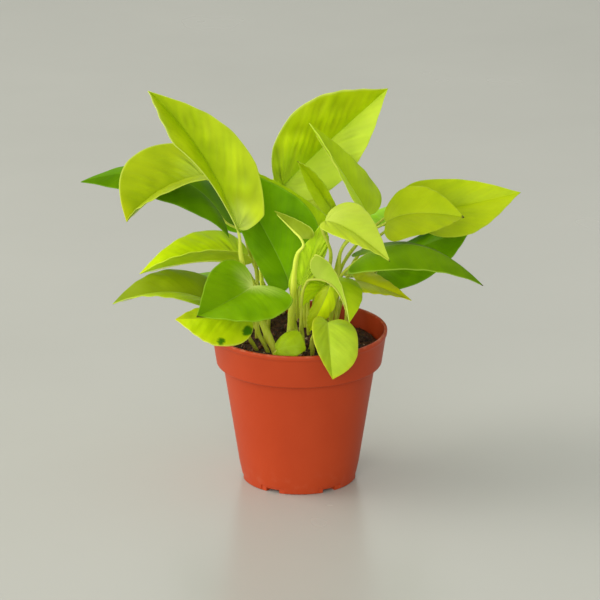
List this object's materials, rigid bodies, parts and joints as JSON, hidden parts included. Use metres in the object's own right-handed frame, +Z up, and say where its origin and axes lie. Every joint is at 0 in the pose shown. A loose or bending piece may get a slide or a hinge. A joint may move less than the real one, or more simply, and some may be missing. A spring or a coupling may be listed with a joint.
{
  "type": "potted golden pothos",
  "caption": "Bushy lime-leaved pothos growing in a round tapered plastic nursery pot with a rim band, filled with potting soil.",
  "frame": {"origin": "middle of the flat underside of the pot, on the surface it stands on", "axes": "+Z up, +X to the viewer's right and -Y towards the viewer, seen from the front"},
  "size_m": [0.2691, 0.1705, 0.2521],
  "materials": {
    "pot": "smooth moulded plastic with a soft sheen",
    "soil": "dark crumbly potting soil",
    "leaf_neon": "waxy lime-yellow leaf, lightly quilted",
    "leaf_lime": "waxy lime leaf",
    "leaf_olive": "waxy olive-lime leaf",
    "leaf_green": "waxy mid-green leaf",
    "leaf_dark": "waxy dark green leaf",
    "leaf_yellow": "waxy yellowing leaf"
  },
  "bodies": {
    "root": {"pot": "pot", "soil": "soil", "leaf_01": "leaf_neon", "leaf_02": "leaf_neon", "leaf_03": "leaf_dark", "leaf_04": "leaf_neon", "leaf_05": "leaf_olive", "leaf_06": "leaf_green", "leaf_07": "leaf_neon", "leaf_08": "leaf_dark", "leaf_09": "leaf_olive", "leaf_10": "leaf_neon", "leaf_11": "leaf_olive", "leaf_12": "leaf_green", "leaf_13": "leaf_neon", "leaf_14": "leaf_olive", "leaf_15": "leaf_neon", "leaf_16": "leaf_neon", "leaf_17": "leaf_dark", "leaf_18": "leaf_green", "leaf_19": "leaf_yellow", "leaf_20": "leaf_lime", "leaf_21": "leaf_lime", "leaf_22": "leaf_lime", "leaf_23": "leaf_lime", "leaf_24": "leaf_lime", "leaf_25": "leaf_neon", "leaf_26": "leaf_neon", "leaf_27": "leaf_dark", "leaf_28": "leaf_green", "leaf_29": "leaf_dark", "leaf_30": "leaf_neon", "leaf_31": "leaf_green", "leaf_32": "leaf_dark", "leaf_33": "leaf_neon"}
  },
  "joints": []
}
